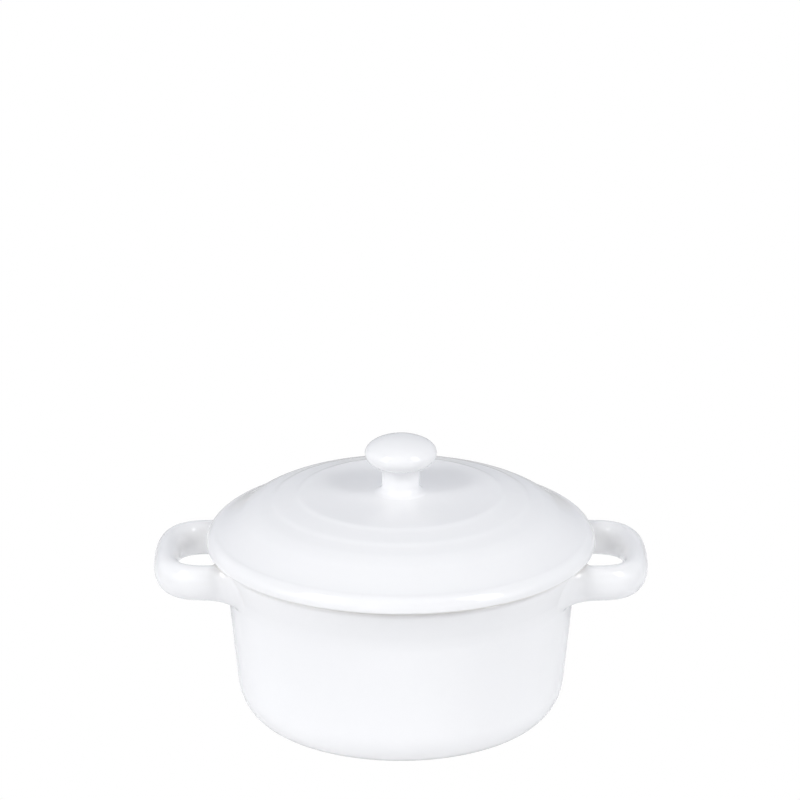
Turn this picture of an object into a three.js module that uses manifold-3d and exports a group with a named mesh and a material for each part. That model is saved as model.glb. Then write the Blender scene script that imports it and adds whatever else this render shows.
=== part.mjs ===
// Individual cocotte with lid: a small round glazed casserole with two loop handles, a collar that flares
// to the rim, and a stepped lid that carries a mushroom knob and drops into the mouth on a flange.
// Millimetres, +Z up, origin in the middle of the foot ring's underside, handles along X.
import * as THREE from 'three';
import { mergeVertices } from 'three/addons/utils/BufferGeometryUtils.js';
import Module from 'manifold-3d';

// Pot
const potHeight = 49.7;            // table to the flat of the rim
const rimRadius = 53.1;            // outer edge of the rim
const rimWidth = 5.2;              // across the flat of the rim
const rimEasing = 2.4;             // rounding of the rim's two edges
const collarHeight = 11;           // flared collar, from the waist up to the rim
const collarFlare = 3.8;           // how far the rim stands out past the waist
const waistEasing = 2.4;           // hollow blend between wall and collar
const wallTaper = 3.8;             // how much the wall draws in from the waist to the table
const wallThickness = 4.6;
const floorThickness = 5.2;        // inside floor above the table
const floorCornerEasing = 12;      // blend between inside floor and wall
const baseCornerReach = 7.25;      // rounded base corner, along the table
const baseCornerRise = 9.7;        // the same corner, up the wall
const footWidth = 3.2;             // flat ring that the pot stands on
const footRecess = 1.4;            // hollow inside the ring
const footEasing = 1.1;

// Lid, outer outline from the edge inwards
const seatGap = 0.3;               // lid's underside over the rim
const lidOverhang = 1.9;           // lid past the rim
const lipHeight = 4;               // rounded edge of the lid
const lipLean = 0.3;               // how much the edge draws in on its way up
const lipLowerEasing = 0.8;
const lipUpperEasing = 2.7;        // rounding of the edge's top, on its outside
const lipInnerEasing = 2.3;        // the same rounding, on the run-out
const ledgeWidth = 4.7;            // gentle run-out between edge and skirt
const ledgeRise = 1.4;
const ledgeEasing = 2.5;
const skirtWidth = 7.4;            // run-out to shoulder
const skirtRise = 5.65;
const skirtEasing = 6;             // hollow sweep at the foot of the skirt
const shoulderEasing = 2.6;
const outerStepWidth = 5.7;        // gently sloping outer step
const outerStepRise = 1.74;
const innerStepWidth = 5.65;       // gently sloping inner step
const innerStepRise = 1.23;
const riserWidth = 1.35;           // each riser is a steeper stretch of this width
const outerRiserHeight = 0.62;
const innerRiserHeight = 0.5;
const stepEasing = 0.65;
const discCrown = 0.3;             // rise from the inner riser to the knob's seat

// Lid, underside
const lidThickness = 4.4;
const flangeDepth = 4.6;           // locating flange, below the seat
const flangeThickness = 3.4;
const flangeClearance = 0.9;       // flange inside the mouth
const flangeEasing = 1.2;
const ceilingEasing = 4;           // blends of the hollow underside

// Knob
const knobRadius = 10.15;
const knobCrown = 4.75;            // equator of the cap up to its top
const knobUnderside = 3.6;         // equator down to the neck
const knobHeight = 16.3;           // seat on the lid up to the top of the cap
const neckRadius = 5.3;
const neckFlare = 1.9;             // foot of the neck spreads by this much
const neckFlareRise = 2.4;
const neckFootEdge = 0.25;         // thin edge of the spread foot
const neckEasing = 0.7;            // crease under the cap

// Handles
const handleProjection = 16.8;     // past the rim
const handleSpan = 35.5;           // between the middles of the two arms
const handleSectionHeight = 10.1;  // its top is level with the rim
const handleSectionWidth = 7;
const rootRun = 3.85;              // root of an arm, from the collar to the loop
const rootFlare = 4;               // arm spreads by this much where it meets the collar
const rootDrop = 5.4;              // and reaches down the wall by this much
const loopSquareness = 2.9;        // exponent of the loop's plan, 2 is an ellipse
const sectionSquareness = 2.1;     // exponent of the arm's section
const lutingGap = 0.3;             // between a luted piece and what carries it

// Facets
const turnSides = 56;              // round the pot and the lid
const knobSides = 32;
const loopSteps = 26;              // along a handle's loop
const flareSteps = 4;              // along each of its roots
const sectionSides = 16;           // round a handle's section
const mostArcSteps = 7;            // along a rounding of an outline
const leastArcSteps = 2;
const arcStep = 2;                 // length that adds one more step
const mergeDistance = 1e-3;        // corners closer than this are one

const wasm = await Module();
wasm.setup();

const waistHeight = potHeight - collarHeight;
const waistRadius = rimRadius - collarFlare;
const baseRadius = waistRadius - wallTaper;
const footOuterRadius = baseRadius - baseCornerReach;
const footInnerRadius = footOuterRadius - footWidth;
const mouthRadius = rimRadius - rimWidth;
const lidRadius = rimRadius + lidOverhang;

const glaze = (name) => new THREE.MeshStandardMaterial({
  name, color: 0xf4f5f9, roughness: 0.14, metalness: 0,
});

// Corner list to outline. A corner is [r, z, before, after]: it is rounded by an elliptical arc, tangent
// to both its sides, that starts `before` ahead of the corner and ends `after` past it. Neighbouring
// roundings that don't fit on their side shrink together.
function easedOutline(corners) {
  const place = corners.map(([r, z]) => new THREE.Vector2(r, z));
  const before = corners.map(([, , ahead = 0]) => ahead);
  const after = corners.map(([, , ahead = 0, past = ahead]) => past);
  for (let i = 1; i < corners.length; i++) {
    const room = place[i].distanceTo(place[i - 1]);
    const fit = Math.min(1, room / Math.max(after[i - 1] + before[i], room));
    after[i - 1] *= fit;
    before[i] *= fit;
  }
  return place.flatMap((corner, i) => {
    if (before[i] === 0 || after[i] === 0) return [corner];
    const start = place[i - 1].clone().sub(corner).setLength(before[i]);
    const end = place[i + 1].clone().sub(corner).setLength(after[i]);
    const wanted = leastArcSteps + Math.round(Math.max(before[i], after[i]) / arcStep);
    const steps = Math.min(mostArcSteps, wanted);
    return Array.from({ length: steps + 1 }, (_, k) => {
      const turn = (k / steps) * (Math.PI / 2);
      return corner.clone()
        .addScaledVector(start, 1 - Math.sin(turn))
        .addScaledVector(end, 1 - Math.cos(turn));
    });
  });
}

function revolve(corners, sides) {
  const outline = easedOutline(corners);
  const distinct = outline.filter((p, i) => i === 0 || p.distanceTo(outline[i - 1]) > mergeDistance);
  return new THREE.LatheGeometry(distinct, sides).rotateX(Math.PI / 2);
}

function toSolid(geometry) {
  const bare = geometry.clone();
  bare.deleteAttribute('normal');
  bare.deleteAttribute('uv');
  const merged = mergeVertices(bare, mergeDistance);
  const index = Array.from(merged.index.array);
  const triVerts = [];
  for (let i = 0; i < index.length; i += 3) {
    const [a, b, c] = index.slice(i, i + 3);
    if (a !== b && b !== c && c !== a) triVerts.push(a, b, c);
  }
  return new wasm.Manifold(new wasm.Mesh({
    numProp: 3,
    vertProperties: new Float32Array(merged.attributes.position.array),
    triVerts: new Uint32Array(triVerts),
  }));
}

function toGeometry(solid) {
  const mesh = solid.getMesh();
  const geometry = new THREE.BufferGeometry();
  geometry.setAttribute('position', new THREE.BufferAttribute(new Float32Array(mesh.vertProperties), 3));
  geometry.setIndex(new THREE.BufferAttribute(new Uint32Array(mesh.triVerts), 1));
  geometry.computeVertexNormals();
  return geometry;
}

// Corners of the pot's outside from the foot up to the rim, pushed out by a gap
const potSide = (gap) => [
  [baseRadius + gap, 0, baseCornerReach, baseCornerRise],
  [waistRadius + gap, waistHeight, waistEasing],
];

function bowlGeometry() {
  return revolve([
    [0, footRecess],
    [footInnerRadius, footRecess, footEasing],
    [footInnerRadius, 0],
    ...potSide(0),
    [rimRadius, potHeight, rimEasing],
    [mouthRadius, potHeight, rimEasing],
    [waistRadius - wallThickness, waistHeight, waistEasing],
    [baseRadius - wallThickness, floorThickness, floorCornerEasing],
    [0, floorThickness],
  ], turnSides);
}

// Lid corners are measured up from its seat plane
const lipRadius = lidRadius - lipLean;
const ledgeRadius = lipRadius - ledgeWidth;
const ledgeHeight = lipHeight + ledgeRise;
const shoulderRadius = ledgeRadius - skirtWidth;
const shoulderHeight = ledgeHeight + skirtRise;
const outerRingRadius = shoulderRadius - outerStepWidth;
const outerRingHeight = shoulderHeight + outerStepRise;
const outerCrestRadius = outerRingRadius - riserWidth;
const outerCrestHeight = outerRingHeight + outerRiserHeight;
const innerRingRadius = outerCrestRadius - innerStepWidth;
const innerRingHeight = outerCrestHeight + innerStepRise;
const innerCrestRadius = innerRingRadius - riserWidth;
const innerCrestHeight = innerRingHeight + innerRiserHeight;
const knobSeatHeight = innerCrestHeight + discCrown;
const knobSeatRadius = neckRadius + neckFlare;

// The flange leans with the inside of the collar, so that its clearance is the same all the way down
const mouthLean = (mouthRadius - waistRadius + wallThickness) / collarHeight;
const flangeTopRadius = mouthRadius - flangeClearance;
const flangeFootRadius = flangeTopRadius - mouthLean * flangeDepth;
const flangeInnerRadius = flangeTopRadius - flangeThickness;
const ceilingRadius = shoulderRadius - lidThickness * Math.sin(Math.atan2(skirtRise, skirtWidth));
const ceilingHeight = shoulderHeight - lidThickness;
const skirtUndersideHeight = ceilingHeight - (flangeInnerRadius - ceilingRadius) * (skirtRise / skirtWidth);

function lidGeometry() {
  return revolve([
    [0, knobSeatHeight - lidThickness],
    [ceilingRadius, ceilingHeight, ceilingEasing],
    [flangeInnerRadius, skirtUndersideHeight, ceilingEasing],
    [flangeFootRadius - flangeThickness, -flangeDepth, flangeEasing],
    [flangeFootRadius, -flangeDepth, flangeEasing],
    [flangeTopRadius, 0],
    [lidRadius, 0, lipLowerEasing],
    [lipRadius, lipHeight, lipUpperEasing, lipInnerEasing],
    [ledgeRadius, ledgeHeight, ledgeEasing, skirtEasing],
    [shoulderRadius, shoulderHeight, shoulderEasing],
    [outerRingRadius, outerRingHeight, stepEasing],
    [outerCrestRadius, outerCrestHeight, stepEasing],
    [innerRingRadius, innerRingHeight, stepEasing],
    [innerCrestRadius, innerCrestHeight, stepEasing],
    [knobSeatRadius, knobSeatHeight],
    [0, knobSeatHeight],
  ], turnSides);
}

// Knob corners are measured up from its seat on the lid
function knobGeometry() {
  const equator = knobHeight - knobCrown;
  const underside = equator - knobUnderside;
  return revolve([
    [0, lutingGap],
    [knobSeatRadius, lutingGap],
    [knobSeatRadius, lutingGap + neckFootEdge],
    [neckRadius, lutingGap + neckFootEdge, neckFlare, neckFlareRise],
    [neckRadius, underside, neckEasing],
    [knobRadius, underside, knobRadius - neckRadius - neckEasing, knobUnderside],
    [knobRadius, knobHeight, knobCrown, knobRadius],
    [0, knobHeight],
  ], knobSides);
}

// Point of a superellipse with semi-axes a and b. The exponent squares its corners.
function superellipse(a, b, exponent, turn) {
  const power = (value) => Math.sign(value) * Math.abs(value) ** (2 / exponent);
  return new THREE.Vector2(a * power(Math.cos(turn)), b * power(Math.sin(turn)));
}

// Radius of the pot's outside at a height, without its roundings
function potRadiusAt(z) {
  if (z > waistHeight) return waistRadius + collarFlare * (z - waistHeight) / collarHeight;
  return waistRadius - wallTaper * (waistHeight - z) / waistHeight;
}

const handleHalfSpan = handleSpan / 2;
const handleHeight = potHeight - handleSectionHeight / 2;

// Stations along the loop: its place in plan and the way out of the loop there. Spread is the share of the
// root's fillet that a station has, none on the loop.
function loopStations() {
  const loopX = Math.sqrt(rimRadius ** 2 - handleHalfSpan ** 2) + rootRun;
  const loopReach = rimRadius + handleProjection - handleSectionWidth / 2 - loopX;
  const normalExponent = loopSquareness / (loopSquareness - 1);
  return Array.from({ length: loopSteps + 1 }, (_, k) => {
    const turn = (k / loopSteps - 0.5) * Math.PI;
    const point = superellipse(loopReach, handleHalfSpan, loopSquareness, turn);
    const out = superellipse(1 / loopReach, 1 / handleHalfSpan, normalExponent, turn);
    return { place: new THREE.Vector2(loopX + point.x, point.y), out: out.normalize(), spread: 0 };
  });
}

// Stations along one arm's root, each a distance off the pot's side, where the arm spreads into a fillet
function rootStations(side) {
  const place = new THREE.Vector2(0, side * handleHalfSpan);
  const out = new THREE.Vector2(0, side);
  const fillet = Array.from({ length: flareSteps }, (_, k) => {
    const turn = (k / flareSteps) * (Math.PI / 2);
    return { place, out, offWall: rootRun * (1 - Math.cos(turn)), spread: 1 - Math.sin(turn) };
  });
  return [{ place, out, offWall: -wallThickness / 2, spread: 1 }, ...fillet];
}

function handleGeometry() {
  const stations = [...rootStations(-1), ...loopStations(), ...rootStations(1).reverse()];
  const halfWidth = handleSectionWidth / 2;
  const halfHeight = handleSectionHeight / 2;
  const position = [];
  for (const { place, out, offWall, spread } of stations) {
    for (let k = 0; k < sectionSides; k++) {
      const turn = (k / sectionSides) * 2 * Math.PI;
      const half = superellipse(halfWidth + rootFlare * spread, halfHeight, sectionSquareness, turn);
      const below = half.y < 0 ? 1 + rootDrop * spread / halfHeight : 1;
      const y = place.y + out.y * half.x;
      const z = handleHeight + half.y * below;
      const onWall = Math.sqrt(potRadiusAt(z) ** 2 - y ** 2);
      const x = offWall === undefined ? place.x + out.x * half.x : onWall + offWall;
      position.push(x, y, z);
    }
  }
  const index = [];
  for (let s = 0; s + 1 < stations.length; s++) {
    for (let k = 0; k < sectionSides; k++) {
      const a = s * sectionSides + k;
      const b = s * sectionSides + (k + 1) % sectionSides;
      index.push(a, a + sectionSides, b, b, a + sectionSides, b + sectionSides);
    }
  }
  const last = (stations.length - 1) * sectionSides;
  for (let k = 1; k + 1 < sectionSides; k++) {
    index.push(0, k, k + 1, last, last + k + 1, last + k);
  }
  const loft = new THREE.BufferGeometry();
  loft.setAttribute('position', new THREE.Float32BufferAttribute(position, 3));
  loft.setIndex(index);

  // The roots are trimmed to the pot's side, with room for the luting slip
  const trim = toSolid(revolve([
    [0, 0], ...potSide(lutingGap), [rimRadius + lutingGap, potHeight], [0, potHeight],
  ], turnSides));
  return toGeometry(toSolid(loft).subtract(trim));
}

function piece(name, geometry) {
  const mesh = new THREE.Mesh(geometry, glaze(`${name}_glaze`));
  mesh.name = name;
  return mesh;
}

const rightHandle = piece('right_handle', handleGeometry());
const leftHandle = piece('left_handle', rightHandle.geometry);
leftHandle.rotation.z = Math.PI;

const pot = new THREE.Group();
pot.add(piece('pot_bowl', bowlGeometry()), leftHandle, rightHandle);

const knob = piece('lid_knob', knobGeometry());
knob.position.z = knobSeatHeight;
const lid = new THREE.Group();
lid.position.z = potHeight + seatGap;
lid.add(piece('lid_shell', lidGeometry()), knob);

const cocotte = new THREE.Group();
cocotte.add(pot, lid);

export default cocotte;
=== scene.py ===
# Individual cocotte with lid, dressed in its white glaze. Metres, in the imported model's own frame.
import math

import bpy
import numpy as np
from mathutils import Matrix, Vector


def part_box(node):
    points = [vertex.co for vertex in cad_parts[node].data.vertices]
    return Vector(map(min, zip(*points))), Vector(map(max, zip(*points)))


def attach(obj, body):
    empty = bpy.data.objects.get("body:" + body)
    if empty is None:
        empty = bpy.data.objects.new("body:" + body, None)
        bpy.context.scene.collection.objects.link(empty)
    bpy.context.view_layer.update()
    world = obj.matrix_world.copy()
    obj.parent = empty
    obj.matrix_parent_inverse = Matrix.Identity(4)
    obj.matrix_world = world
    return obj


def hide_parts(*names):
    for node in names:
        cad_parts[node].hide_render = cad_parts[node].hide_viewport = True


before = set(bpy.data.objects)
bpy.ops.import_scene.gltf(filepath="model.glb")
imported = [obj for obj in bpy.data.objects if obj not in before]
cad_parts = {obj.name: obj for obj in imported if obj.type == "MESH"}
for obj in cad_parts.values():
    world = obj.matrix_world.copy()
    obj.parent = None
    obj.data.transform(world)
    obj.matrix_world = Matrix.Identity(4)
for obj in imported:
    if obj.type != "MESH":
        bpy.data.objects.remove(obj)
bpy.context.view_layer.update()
mm = 0.001   # all dictionaries but the studio's give sizes in millimetres


# Camera, at the photograph's angle
cameraSet = {
    "distance": 1200,            # from the eye to the aim point
    "elevation": 21.71,          # degrees above the table
    "aimHeight": 40,             # aim point on the axis
    "aimPixel": (400.8, 574.8),  # where the aim point falls in the picture
    "pictureSide": 800,
    "lens": 189.9,
    "sensor": 36,
    "clip": (10, 30000),         # nearest and farthest that it sees
}


def placeCamera(c):
    lift = math.radians(c["elevation"])
    back = Vector((0, -math.cos(lift), math.sin(lift)))
    up = Vector((0, math.sin(lift), math.cos(lift)))
    focal = c["lens"] / c["sensor"] * c["pictureSide"]
    middle = c["pictureSide"] / 2
    acrossPixels = middle - c["aimPixel"][0]
    upPixels = c["aimPixel"][1] - middle
    look = up * upPixels + Vector((acrossPixels, 0, 0)) - back * focal
    data = bpy.data.cameras.new("pictureCamera")
    data.lens = c["lens"]
    data.sensor_width = c["sensor"]
    data.clip_start = c["clip"][0] * mm
    data.clip_end = c["clip"][1] * mm
    camera = bpy.data.objects.new("pictureCamera", data)
    camera.location = Vector((0, 0, c["aimHeight"] * mm)) + back * c["distance"] * mm
    camera.rotation_mode = "QUATERNION"
    camera.rotation_quaternion = look.to_track_quat("-Z", "Y")
    bpy.context.scene.collection.objects.link(camera)
    bpy.context.scene.camera = camera


placeCamera(cameraSet)
print("camera placed")


# Outlines and turned forms
turning = {
    "sides": 216,          # round the axis
    "arcStep": 0.45,       # along a rounding
    "leastArcSteps": 6,
    "straightStep": 1.6,   # along a straight stretch
    "leastGap": 0.0001,    # nearer points are one
}


# A corner is (r, z, before, after): an elliptical arc, tangent to both its sides, starts `before` ahead of
# the corner and ends `after` past it. Neighbouring roundings that don't fit on their side shrink together.
def easedOutline(corners):
    place = [Vector(c[:2]) for c in corners]
    before = [c[2] if len(c) > 2 else 0 for c in corners]
    after = [c[3] if len(c) > 3 else b for c, b in zip(corners, before)]
    for i in range(1, len(corners)):
        room = (place[i] - place[i - 1]).length
        fit = min(1, room / max(after[i - 1] + before[i], room))
        after[i - 1] *= fit
        before[i] *= fit
    points = []
    for i, corner in enumerate(place):
        if not before[i] or not after[i]:
            points.append(corner)
            continue
        start = (place[i - 1] - corner).normalized() * before[i]
        end = (place[i + 1] - corner).normalized() * after[i]
        steps = max(turning["leastArcSteps"], math.ceil((before[i] + after[i]) / turning["arcStep"]))
        for k in range(steps + 1):
            turn = k / steps * math.pi / 2
            points.append(corner + start * (1 - math.sin(turn)) + end * (1 - math.cos(turn)))
    return splitStraights(points)


def splitStraights(points):
    filled = [points[0]]
    for a, b in zip(points, points[1:]):
        gap = (b - a).length
        if gap < turning["leastGap"]:
            continue
        parts = math.ceil(gap / turning["straightStep"])
        filled += [a.lerp(b, k / parts) for k in range(1, parts + 1)]
    return np.array(filled)


# Turns an outline that starts and ends on the axis into points and faces
def turned(outline):
    sides = turning["sides"]
    angles = np.arange(sides) / sides * 2 * math.pi
    ringed = outline[1:-1]
    rings = np.stack([
        np.outer(ringed[:, 0], np.cos(angles)),
        np.outer(ringed[:, 0], np.sin(angles)),
        np.outer(ringed[:, 1], np.ones(sides)),
    ], axis=2).reshape(-1, 3)
    points = np.vstack([rings, [0, 0, outline[0, 1]], [0, 0, outline[-1, 1]]])
    first, last = len(rings), len(rings) + 1
    top = (len(ringed) - 1) * sides
    faces = []
    for k in range(sides):
        after = (k + 1) % sides
        faces.append((first, after, k))
        for low in range(0, top, sides):
            high = low + sides
            faces.append((low + k, low + after, high + after, high + k))
        faces.append((top + k, top + after, last))
    return points, faces


# Fired clay is never quite true: it wavers slowly by a few hundredths, and pieces that join waver as one
firedClay = {
    "waver": 0.035,
    "waverLength": 19,                   # for one radian
    "phase": {"pot": 0.4, "lid": 2.3},
}


def wavering(points, body):
    x, y, z = (points / firedClay["waverLength"] + firedClay["phase"][body]).T
    # uneven numbers, so that no two sides waver alike
    shift = np.stack([
        np.sin(1.3 * y + 0.7 * z) + np.sin(2.1 * z - 0.6 * x),
        np.sin(1.1 * z + 0.8 * x) + np.sin(1.9 * x + 0.5 * y),
        np.sin(0.9 * x - 0.7 * y) + np.sin(1.6 * y + 1.2 * x),
    ], axis=1)
    return points + shift * firedClay["waver"]


def newPiece(name, points, faces, body, replaced):
    mesh = bpy.data.meshes.new(name)
    mesh.from_pydata((wavering(points, body) * mm).tolist(), [], faces)
    mesh.validate()
    mesh.shade_smooth()
    piece = bpy.data.objects.new(name, mesh)
    bpy.context.scene.collection.objects.link(piece)
    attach(piece, body)
    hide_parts(replaced)
    return piece


# Where a piece runs out on another it takes that one's normals, so that the glaze shows no line
def bendNormals(piece, bent):
    normals = [v.normal.copy() for v in piece.data.vertices]
    for index, normal in bent.items():
        normals[index] = normal
    piece.data.normals_split_custom_set_from_vertices(normals)


# Pot
bowl = {
    "height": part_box("pot_bowl")[1].z / mm,
    "rimRadius": 53.1,
    "rimWidth": 5.2,
    "rimEasing": 2.4,
    "collarHeight": 11,
    "collarFlare": 3.8,     # rim past the waist
    "waistEasing": 2.4,
    "wallTaper": 3.8,       # waist past the base
    "wall": 4.6,
    "floor": 5.2,
    "floorEasing": 12,
    "baseReach": 7.25,      # round corner, along the table
    "baseRise": 9.7,        # and up the wall
    "footWidth": 3.2,
    "footRecess": 1.4,
    "footEasing": 1.1,
    "footEdge": 0.4,
}


def bowlOutline(b):
    waistZ = b["height"] - b["collarHeight"]
    waistR = b["rimRadius"] - b["collarFlare"]
    baseR = waistR - b["wallTaper"]
    footR = baseR - b["baseReach"] - b["footWidth"]
    mouthR = b["rimRadius"] - b["rimWidth"]
    return easedOutline([
        (0, b["footRecess"]),
        (footR, b["footRecess"], b["footEasing"]),
        (footR, 0, b["footEdge"]),
        (baseR, 0, b["baseReach"], b["baseRise"]),
        (waistR, waistZ, b["waistEasing"]),
        (b["rimRadius"], b["height"], b["rimEasing"]),
        (mouthR, b["height"], b["rimEasing"]),
        (waistR - b["wall"], waistZ, b["waistEasing"]),
        (baseR - b["wall"], b["floor"], b["floorEasing"]),
        (0, b["floor"]),
    ])


bowlLine = bowlOutline(bowl)
bowlPoints, bowlFaces = turned(bowlLine)
potBowl = newPiece("potBowl", bowlPoints, bowlFaces, "pot", "pot_bowl")
print("bowl turned:", len(bowlFaces), "faces")


# Handles
handle = {
    "reach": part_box("right_handle")[1].x / mm,
    "span": 35.5,              # between the middles of the arms
    "sectionHeight": 10.1,
    "sectionWidth": 7,
    "sectionSquareness": 2.1,
    "loopSquareness": 2.9,
    "topBelowRim": 0.05,
    "straightRun": 3.85,       # of arm past the rim before the loop turns
    "outerFlare": 4,           # root spreads by this much on the collar
    "outerRun": 4.6,           # over this length of arm
    "innerFlare": 11,          # the same towards the finger gap
    "innerRun": 6,
    "lowFlare": 3.8,           # and below the arm
    "lowRun": 9.5,
    "pastRoot": 1,             # of arm that is searched for the root's end
    "sunk": 1.2,               # closed end, hidden in the wall
    "armInside": 20,           # middle line starts this far before the loop
    "armPoints": 80,           # of the middle line
    "loopPoints": 400,
    "rootSteps": 26,           # of the mesh
    "loopSteps": 60,           # to the middle of the loop
    "sectionSides": 72,
}

# Outer outline of the bowl from the table up to the rim, as radius over height
outerTop = np.argmax(bowlLine[:, 1])
outerLow = np.flatnonzero(bowlLine[:outerTop, 1] <= 0)[-1] + 1
outerLine = bowlLine[outerLow:outerTop + 1]


def wallRadius(z):
    return np.interp(z, outerLine[:, 1], outerLine[:, 0])


def wallX(y, z):
    return np.sqrt(wallRadius(z) ** 2 - y ** 2)


def wallNormal(point):
    x, y, z = point
    step = 0.05   # up and down, to find the wall's lean
    lean = (wallRadius(z + step) - wallRadius(z - step)) / (2 * step)
    return Vector((x, y, -lean * math.hypot(x, y))).normalized()


# Point of an ellipse with half axes a and b, the squarer the higher the exponent
def squared(a, b, exponent, turn):
    c, s = np.cos(turn), np.sin(turn)
    power = 2 / exponent
    return a * np.sign(c) * np.abs(c) ** power, b * np.sign(s) * np.abs(s) ** power


# Middle line of one arm and half the loop, from inside the wall to the loop's middle
def armPath(h):
    halfSpan = h["span"] / 2
    loopX = math.sqrt(bowl["rimRadius"] ** 2 - halfSpan ** 2) + h["straightRun"]
    loopReach = h["reach"] - h["sectionWidth"] / 2 - loopX
    turn = np.linspace(-math.pi / 2, 0, h["loopPoints"])
    x, y = squared(loopReach, halfSpan, h["loopSquareness"], turn)
    outSquareness = h["loopSquareness"] / (h["loopSquareness"] - 1)
    outX, outY = squared(1 / loopReach, 1 / halfSpan, outSquareness, turn)
    size = np.hypot(outX, outY)
    armX = np.linspace(loopX - h["armInside"], loopX, h["armPoints"])[:-1]
    same = np.ones_like(armX)
    path = {
        "x": np.concatenate([armX, loopX + x]),
        "y": np.concatenate([-halfSpan * same, y]),
        "outX": np.concatenate([0 * same, outX / size]),
        "outY": np.concatenate([-same, outY / size]),
    }
    moves = np.hypot(np.diff(path["x"]), np.diff(path["y"]))
    path["length"] = np.concatenate([[0], np.cumsum(moves)])
    return path


# One line of points for each side of the section, from root to root
def handlePoints(h):
    path = armPath(h)
    length = path["length"]
    halfWidth, halfHeight = h["sectionWidth"] / 2, h["sectionHeight"] / 2
    middleZ = bowl["height"] - h["topBelowRim"] - halfHeight
    fillet = np.linspace(0, math.pi / 2, h["rootSteps"] + 1)
    spread = 1 - np.sin(fillet)
    loopShare = np.linspace(0, 1, h["loopSteps"] + 1)[1:]
    lines = []
    for k in range(h["sectionSides"]):
        turn = k / h["sectionSides"] * 2 * math.pi
        across, rise = squared(halfWidth, halfHeight, h["sectionSquareness"], turn)
        side = "outer" if across > 0 else "inner"
        run = h[side + "Run"]
        run += (h["lowRun"] - run) * max(0, -math.sin(turn)) ** 2
        lineX = path["x"] + path["outX"] * across
        lineY = path["y"] + path["outY"] * across
        offWall = lineX - wallX(lineY, middleZ + rise)
        leaving = np.argmax(offWall > run + h["pastRoot"]) + 1   # so many points lead away from the wall
        # root: quarter ellipse from the wall out to the arm
        off = run * (1 - np.cos(fillet))
        at = np.interp(off, offWall[:leaving], length[:leaving])
        wide = across * (1 + h[side + "Flare"] * spread / halfWidth)
        lowFlare = h["lowFlare"] if rise < 0 else 0
        rootZ = middleZ + rise * (1 + lowFlare * spread / halfHeight)
        rootY = np.interp(at, length, path["y"]) + np.interp(at, length, path["outY"]) * wide
        root = np.stack([wallX(rootY, rootZ) + off, rootY, rootZ], axis=1)
        hidden = root[:1] - [h["sunk"], 0, 0]
        # arm and half the loop
        at = at[-1] + (length[-1] - at[-1]) * loopShare
        loopZ = np.full_like(at, middleZ + rise)
        loop = np.stack([np.interp(at, length, lineX), np.interp(at, length, lineY), loopZ], axis=1)
        lines.append(np.vstack([hidden, root, loop]))
    half = np.stack(lines, axis=1)
    mirrored = half[-2::-1] * [1, -1, 1]
    return np.vstack([half, mirrored])


def handlePiece(name, h, replaced, side):
    grid = handlePoints(h) * [side, side, 1]
    stations, sides = grid.shape[:2]
    points = np.vstack([grid.reshape(-1, 3), grid[0].mean(0), grid[-1].mean(0)])
    last = (stations - 1) * sides
    faces = []
    for k in range(sides):
        after = (k + 1) % sides
        faces.append((k, after, last + sides))
        faces.append((last + after, last + k, last + sides + 1))
        for low in range(0, last, sides):
            high = low + sides
            faces.append((low + after, low + k, high + k, high + after))
    piece = newPiece(name, points, faces, "pot", replaced)
    rootEdges = [(row, k) for row in (1, stations - 2) for k in range(sides)]
    bendNormals(piece, {row * sides + k: wallNormal(grid[row, k]) for row, k in rootEdges})
    return piece


rightHandle = handlePiece("rightHandle", handle, "right_handle", 1)
leftHandle = handlePiece("leftHandle", handle, "left_handle", -1)
print("handles lofted")


# Lid and knob, the lid's heights above its seat
lid = {
    "seatGap": 0.3,                # seat above the pot's rim
    "radius": 55,
    "lipLean": 0.3,
    "lipHeight": 4,
    "lipLowerEasing": 0.8,
    "lipUpperEasing": (2.7, 2.3),  # down the edge, along the ledge
    "ledgeWidth": 4.7,             # gentle run-out between lip and skirt
    "ledgeRise": 1.4,
    "ledgeEasing": 2.5,
    "skirtWidth": 7.4,
    "skirtRise": 5.65,
    "skirtEasing": 6,
    "shoulderEasing": 2.6,
    "outerStep": (5.7, 1.74),      # width, rise
    "innerStep": (5.65, 1.23),
    "outerRiser": (1.35, 0.62),
    "innerRiser": (1.35, 0.5),
    "stepEasing": 0.65,
    "discCrown": 0.3,
    "thickness": 4.4,
    "flangeDepth": 4.6,
    "flangeThickness": 3.4,
    "flangeClearance": 0.9,
    "flangeEasing": 1.2,
    "flangeRootEasing": 0.5,
    "ceilingEasing": 4,
}
knob = {
    "top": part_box("lid_knob")[1].z / mm,
    "radius": 10.15,
    "crown": 4.75,       # above the widest level
    "underside": 3.6,    # below it
    "neckRadius": 5.3,
    "neckFlare": 2.4,    # foot spreads on the disc
    "neckRise": 2.2,     # over this height
    "neckEasing": 0.7,
    "sunk": 1.2,         # closed end, hidden in the lid
}
lidSeat = bowl["height"] + lid["seatGap"]
neckFootR = knob["neckRadius"] + knob["neckFlare"]


# Corners of the lid's top, from the edge inwards
def lidTop(d):
    moves = [
        (d["lipLean"], d["lipHeight"], *d["lipUpperEasing"]),
        (d["ledgeWidth"], d["ledgeRise"], d["ledgeEasing"], d["skirtEasing"]),
        (d["skirtWidth"], d["skirtRise"], d["shoulderEasing"]),
    ]
    for step in ("outerStep", "outerRiser", "innerStep", "innerRiser"):
        moves.append((*d[step], d["stepEasing"]))
    r, z = d["radius"], 0
    corners = [(r, z, d["lipLowerEasing"])]
    for inward, up, *easing in moves:
        r -= inward
        z += up
        corners.append((r, z, *easing))
    return corners


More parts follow.
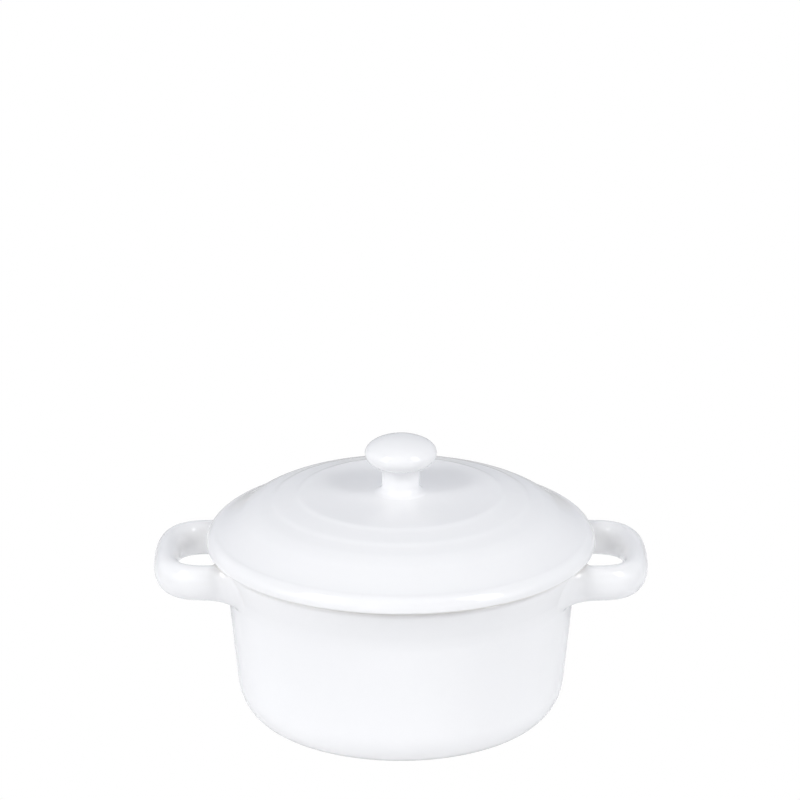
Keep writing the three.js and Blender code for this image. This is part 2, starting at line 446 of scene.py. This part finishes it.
# Corners of the underside, from the axis out to the seat. The flange leans with the inside of the collar.
def lidUnderside(d, topZ, shoulderR, shoulderZ):
    mouthR = bowl["rimRadius"] - bowl["rimWidth"]
    insideR = bowl["rimRadius"] - bowl["collarFlare"] - bowl["wall"]
    lean = (mouthR - insideR) / bowl["collarHeight"]
    flangeR = mouthR - d["flangeClearance"]
    footR = flangeR - lean * d["flangeDepth"]
    flangeInR = flangeR - d["flangeThickness"]
    slope = d["skirtRise"] / d["skirtWidth"]
    ceilingR = shoulderR - d["thickness"] * math.sin(math.atan(slope))
    ceilingZ = shoulderZ - d["thickness"]
    return [
        (0, topZ - d["thickness"]),
        (ceilingR, ceilingZ, d["ceilingEasing"]),
        (flangeInR, ceilingZ - (flangeInR - ceilingR) * slope, d["ceilingEasing"]),
        (footR - d["flangeThickness"], -d["flangeDepth"], d["flangeEasing"]),
        (footR, -d["flangeDepth"], d["flangeEasing"]),
        (flangeR, 0, d["flangeRootEasing"]),
    ]


def lidOutline(d):
    top = lidTop(d)
    shoulderR, shoulderZ = top[3][:2]   # after edge, lip and ledge
    topZ = top[-1][1] + d["discCrown"]
    corners = lidUnderside(d, topZ, shoulderR, shoulderZ) + top + [(neckFootR, topZ), (0, topZ)]
    return easedOutline([(r, z + lidSeat, *easing) for r, z, *easing in corners]), topZ + lidSeat


def knobOutline(n, discZ):
    underside = n["top"] - n["crown"] - n["underside"]
    return easedOutline([
        (0, discZ - n["sunk"]),
        (n["neckRadius"], discZ - n["sunk"]),
        (neckFootR, discZ),
        (n["neckRadius"], discZ, n["neckFlare"], n["neckRise"]),
        (n["neckRadius"], underside, n["neckEasing"]),
        (n["radius"], underside, n["radius"] - n["neckRadius"] - n["neckEasing"], n["underside"]),
        (n["radius"], n["top"], n["crown"], n["radius"]),
        (0, n["top"]),
    ])


lidLine, discTop = lidOutline(lid)
lidPoints, lidFaces = turned(lidLine)
lidShell = newPiece("lidShell", lidPoints, lidFaces, "lid", "lid_shell")
knobLine = knobOutline(knob, discTop)
knobPoints, knobFaces = turned(knobLine)
lidKnob = newPiece("lidKnob", knobPoints, knobFaces, "lid", "lid_knob")
# ring of the neck's foot, counted without the line's first point, which has no ring
footRing = np.argmin(np.abs(knobLine - [neckFootR, discTop]).sum(1)) - 1
footStart = footRing * turning["sides"]
bendNormals(lidKnob, {footStart + k: Vector((0, 0, 1)) for k in range(turning["sides"])})
print("lid and knob turned:", len(lidFaces) + len(knobFaces), "faces")


# Glaze
glaze = {
    "white": (0.865, 0.866, 0.874, 1),
    "thinWhite": (0.88, 0.88, 0.884, 1),      # over sharp edges
    "pooledWhite": (0.825, 0.832, 0.86, 1),   # in the creases
    "edgePoint": (0.505, 0.56),   # pointiness where it starts to run thin, and is thin
    "creasePoint": (0.495, 0.44),
    "cloudSize": 14,              # slow change of the glaze's thickness
    "cloudSpan": (0.3, 0.7),      # of the cloud's values, for the gloss
    "gloss": (0.05, 0.1),         # roughness, lowest and highest
    "refraction": 1.5,
    "rippleSize": 5.5,            # orange peel
    "rippleDepth": 0.02,
    "grainSize": 0.7,
    "grainShare": 0.12,           # of the ripple
    "speckSize": 4.2,             # one place in this many millimetres may hold a speck
    "speckShare": 0.02,           # of those places that do
    "speckReach": (0.02, 0.065),  # least and most, as shares of a place
    "speckFade": (0.5, 1.3),      # of its reach, from full colour to none
    "speckColor": (0.33, 0.31, 0.29, 1),
    "clay": (0.74, 0.70, 0.635, 1),
    "clayRoughness": 0.78,
    "clayReach": 0.28,            # bare this far off the level where the piece stood
    "clayWaves": 420,             # in a metre of the bare clay's border
    "clayFade": (1.25, 1.45),     # of its reach, with the waves added, from clay to glaze
}


# A socket among the values is linked, anything else is set
def addNode(tree, kind, values=None, **settings):
    node = tree.nodes.new(kind)
    for key, value in settings.items():
        setattr(node, key, value)
    for socket, value in (values or {}).items():
        if isinstance(value, bpy.types.NodeSocket):
            tree.links.new(value, node.inputs[socket])
        else:
            node.inputs[socket].default_value = value
    return node


def newGroup(name, inputs, outputs):
    tree = bpy.data.node_groups.new(name, "ShaderNodeTree")
    for way, labels in (("INPUT", inputs), ("OUTPUT", outputs)):
        for label in labels:
            tree.interface.new_socket(label, in_out=way, socket_type="NodeSocketFloat")
    return tree, tree.nodes.new("NodeGroupInput").outputs, tree.nodes.new("NodeGroupOutput").inputs


def pieceCoordinates(tree):
    return tree.nodes.new("ShaderNodeTexCoord").outputs["Object"]


def noise(tree, place, scale, detail):
    return addNode(tree, "ShaderNodeTexNoise", {
        "Vector": place, "Scale": scale, "Detail": detail,
    }).outputs["Fac"]


def worked(tree, operation, *values):
    return addNode(tree, "ShaderNodeMath", dict(enumerate(values)), operation=operation).outputs[0]


def mapped(tree, value, span, ends=(0, 1), way="LINEAR"):
    return addNode(tree, "ShaderNodeMapRange", {
        "Value": value, "From Min": span[0], "From Max": span[1], "To Min": ends[0], "To Max": ends[1],
    }, interpolation_type=way).outputs[0]


# The colour sockets of a Mix node are found by number
def mixColor(tree, share, low, high):
    return addNode(tree, "ShaderNodeMix", {0: share, 6: low, 7: high}, data_type="RGBA").outputs[2]


# Orange peel with a fine grain on it
def rippleGroup():
    tree, given, made = newGroup("glazeRipple", ["Peel Scale", "Grain Scale", "Grain Share"], ["Height"])
    place = pieceCoordinates(tree)
    peel = noise(tree, place, given["Peel Scale"], detail=1.2)
    grain = noise(tree, place, given["Grain Scale"], detail=2)
    tree.links.new(worked(tree, "MULTIPLY_ADD", grain, given["Grain Share"], peel), made["Height"])
    return tree


# Sparse iron specks of the clay, come up through the glaze
def speckGroup(g):
    tree, given, made = newGroup("kilnSpecks", ["Scale", "Share"], ["Mask"])
    place = pieceCoordinates(tree)
    cells = addNode(tree, "ShaderNodeTexVoronoi", {"Vector": place, "Scale": given["Scale"]}).outputs
    chance = addNode(tree, "ShaderNodeSeparateColor", {"Color": cells["Color"]}).outputs
    chosen = worked(tree, "LESS_THAN", chance["Red"], given["Share"])
    reach = mapped(tree, chance["Green"], (0, 1), g["speckReach"])
    away = worked(tree, "DIVIDE", cells["Distance"], reach)
    dot = mapped(tree, away, g["speckFade"], (1, 0))
    tree.links.new(worked(tree, "MULTIPLY", dot, chosen), made["Mask"])
    return tree


# Glaze runs thin over edges and gathers in hollows
def thicknessGroup(g):
    tree, given, made = newGroup("glazeThickness", ["Cloud Scale"], ["Thin", "Pooled", "Cloud"])
    sharp = tree.nodes.new("ShaderNodeNewGeometry").outputs["Pointiness"]
    tree.links.new(mapped(tree, sharp, g["edgePoint"]), made["Thin"])
    tree.links.new(mapped(tree, sharp, g["creasePoint"]), made["Pooled"])
    tree.links.new(noise(tree, pieceCoordinates(tree), given["Cloud Scale"], detail=3), made["Cloud"])
    return tree


# Bare clay where the piece stood in the kiln or bears on another, round one level of the piece
def bareGroup(g):
    tree, given, made = newGroup("bareClay", ["Level", "Reach"], ["Mask"])
    place = pieceCoordinates(tree)
    height = addNode(tree, "ShaderNodeSeparateXYZ", {0: place}).outputs["Z"]
    away = worked(tree, "ABSOLUTE", worked(tree, "SUBTRACT", height, given["Level"]))
    share = worked(tree, "DIVIDE", away, given["Reach"])
    ragged = worked(tree, "ADD", share, noise(tree, place, g["clayWaves"], detail=3))
    tree.links.new(mapped(tree, ragged, g["clayFade"], (1, 0)), made["Mask"])
    return tree


groups = {
    "ripple": rippleGroup(),
    "specks": speckGroup(glaze),
    "thickness": thicknessGroup(glaze),
    "bare": bareGroup(glaze),
}


def glazeMaterial(name, g, bareLevel):
    material = bpy.data.materials.new(name)
    material.use_nodes = True
    tree = material.node_tree
    shader = tree.nodes["Principled BSDF"]
    shader.inputs["IOR"].default_value = g["refraction"]

    def placed(group, values):
        return addNode(tree, "ShaderNodeGroup", values, node_tree=groups[group]).outputs

    ripple = placed("ripple", {
        "Peel Scale": 1 / (g["rippleSize"] * mm),
        "Grain Scale": 1 / (g["grainSize"] * mm),
        "Grain Share": g["grainShare"],
    })
    specks = placed("specks", {"Scale": 1 / (g["speckSize"] * mm), "Share": g["speckShare"]})
    thickness = placed("thickness", {"Cloud Scale": 1 / (g["cloudSize"] * mm)})
    bare = placed("bare", {"Level": bareLevel * mm, "Reach": g["clayReach"] * mm})
    # colour
    color = mixColor(tree, thickness["Cloud"], g["white"], g["thinWhite"])
    color = mixColor(tree, thickness["Thin"], color, g["thinWhite"])
    color = mixColor(tree, thickness["Pooled"], color, g["pooledWhite"])
    color = mixColor(tree, specks["Mask"], color, g["speckColor"])
    color = mixColor(tree, bare["Mask"], color, g["clay"])
    tree.links.new(color, shader.inputs["Base Color"])
    # gloss
    gloss = mapped(tree, thickness["Cloud"], g["cloudSpan"], g["gloss"])
    dull = mapped(tree, bare["Mask"], (0, 1), (gloss, g["clayRoughness"]))
    tree.links.new(dull, shader.inputs["Roughness"])
    # surface
    bump = addNode(tree, "ShaderNodeBump", {
        "Height": ripple["Height"], "Strength": 1, "Distance": g["rippleDepth"] * mm,
    })
    tree.links.new(bump.outputs[0], shader.inputs["Normal"])
    return material


potGlaze = glazeMaterial("potGlaze", glaze, 0)
lidGlaze = glazeMaterial("lidGlaze", glaze, lidSeat)
for piece in (potBowl, leftHandle, rightHandle):
    piece.data.materials.append(potGlaze)
for piece in (lidShell, lidKnob):
    piece.data.materials.append(lidGlaze)
print("glaze mixed:", ", ".join(g.name for g in groups.values()))


# Studio, sizes in metres: white to the eye, shaded to the glaze
studio = {
    "roomTint": (0.935, 0.968, 1.065),
    "roomFront": (0.74, 0.03),     # grey near the horizon, above
    "roomBack": (0.49, 0.49),
    "horizonBand": (0.2, 0.45),    # height of the unit direction where one passes into the other
    "sideBand": (-0.3, 0.3),       # the same from front to back
    "floorPaintedLightPool": (0.75, 0.2),      # painted pool of light: pale round the pot, painted shade far off
    "floorGlow": (0.12, 0.28),     # light that comes up from under the table
    "floorNear": (0.12, 0.3),      # from the axis, where one passes into the other
    "floorRoughness": 0.8,
    "floorSide": 6.0,
    "boxDistance": 1.5,            # of all softboxes
    # azimuth from the camera's side, elevation, width, height, watts
    "softboxes": {
        "rightFill": (60, 10, 0.8, 0.8, 1.8),
        "leftFill": (-60, 10, 0.8, 0.8, 2.4),
        "frontFill": (-30, 22, 0.8, 1.0, 2),
        "topBox": (0, 60, 1.2, 1.0, 2.8),
        "rightWing": (105, 15, 1.6, 1.0, 1.6),
        "leftWing": (-105, 15, 1.6, 1.0, 2.5),
    },
    # fills that the glaze doesn't mirror
    "softFills": {
        "rightBox": (60, 35, 0.8, 0.8, 4),
        "rightKey": (48, 42, 0.45, 0.45, 4.2),
        "leftKey": (-48, 42, 0.45, 0.45, 5.5),
        "leftBox": (-50, 28, 0.5, 0.5, 1.8),
        "frontAbove": (0, 45, 0.8, 0.6, 0.6),
        "rightBack": (150, 9, 1.2, 0.4, 4.6),
        "leftBack": (-150, 9, 1.2, 0.4, 4.6),
    },
    # strips that only the gloss shows
    "highlights": {
        "rightStrip": (54, 36, 0.4, 0.9, 9),
        "leftStrip": (-54, 36, 0.4, 0.9, 9),
    },
}


def whiteToEye(tree, kind, shaded, output):
    white = addNode(tree, kind, {"Color": (1, 1, 1, 1)})
    path = tree.nodes.new("ShaderNodeLightPath")
    mix = addNode(tree, "ShaderNodeMixShader", {
        0: path.outputs["Is Camera Ray"], 1: shaded.outputs[0], 2: white.outputs[0],
    })
    tree.links.new(mix.outputs[0], tree.nodes[output].inputs["Surface"])


def lightRoom(s):
    world = bpy.data.worlds.new("studioRoom")
    bpy.context.scene.world = world
    world.use_nodes = True
    tree = world.node_tree
    direction = tree.nodes.new("ShaderNodeTexCoord").outputs["Generated"]
    parts = addNode(tree, "ShaderNodeSeparateXYZ", {0: direction}).outputs
    above = mapped(tree, parts["Z"], s["horizonBand"], way="SMOOTHSTEP")
    behind = mapped(tree, parts["Y"], s["sideBand"], way="SMOOTHSTEP")

    def graded(greys):
        tints = [tuple(grey * c for c in s["roomTint"]) + (1,) for grey in greys]
        return mixColor(tree, above, *tints)

    room = tree.nodes["Background"]
    color = mixColor(tree, behind, graded(s["roomFront"]), graded(s["roomBack"]))
    tree.links.new(color, room.inputs["Color"])
    whiteToEye(tree, "ShaderNodeBackground", room, "World Output")


def layFloor(s):
    bpy.ops.mesh.primitive_plane_add(size=s["floorSide"])
    floor = bpy.context.object
    floor.name = "studioFloor"
    material = bpy.data.materials.new("paleFloor")
    material.use_nodes = True
    tree = material.node_tree
    reach = addNode(tree, "ShaderNodeVectorMath", {0: pieceCoordinates(tree)}, operation="LENGTH")
    far = mapped(tree, reach.outputs["Value"], s["floorNear"], way="SMOOTHSTEP")
    shader = tree.nodes["Principled BSDF"]
    # the floor's base grey is a painted pool of light round the pot, fading to painted shade far off
    for socket, greys in (("Base Color", s["floorPaintedLightPool"]), ("Emission Color", s["floorGlow"])):
        near, away = [(g, g, g, 1) for g in greys]
        tree.links.new(mixColor(tree, far, near, away), shader.inputs[socket])
    shader.inputs["Emission Strength"].default_value = 1
    shader.inputs["Roughness"].default_value = s["floorRoughness"]
    whiteToEye(tree, "ShaderNodeEmission", shader, "Material Output")
    floor.data.materials.append(material)


def hangSoftbox(name, azimuth, elevation, width, height, watts, lights=True, mirrored=True):
    turn, lift = math.radians(azimuth), math.radians(elevation)
    toward = Vector((math.sin(turn) * math.cos(lift), -math.cos(turn) * math.cos(lift), math.sin(lift)))
    data = bpy.data.lights.new(name, "AREA")
    data.shape = "RECTANGLE"
    data.size = width
    data.size_y = height
    data.energy = watts
    box = bpy.data.objects.new(name, data)
    box.location = toward * studio["boxDistance"] + Vector((0, 0, cameraSet["aimHeight"] * mm))
    box.rotation_mode = "QUATERNION"
    box.rotation_quaternion = (-toward).to_track_quat("-Z", "Y")
    box.visible_camera = False
    box.visible_diffuse = lights
    box.visible_glossy = mirrored
    bpy.context.scene.collection.objects.link(box)


lightRoom(studio)
layFloor(studio)
for boxName, values in studio["softboxes"].items():
    hangSoftbox(boxName, *values)
for boxName, values in studio["softFills"].items():
    hangSoftbox(boxName, *values, mirrored=False)
for boxName, values in studio["highlights"].items():
    hangSoftbox(boxName, *values, lights=False)
bpy.context.scene.view_settings.view_transform = "Standard"
print("studio lit")
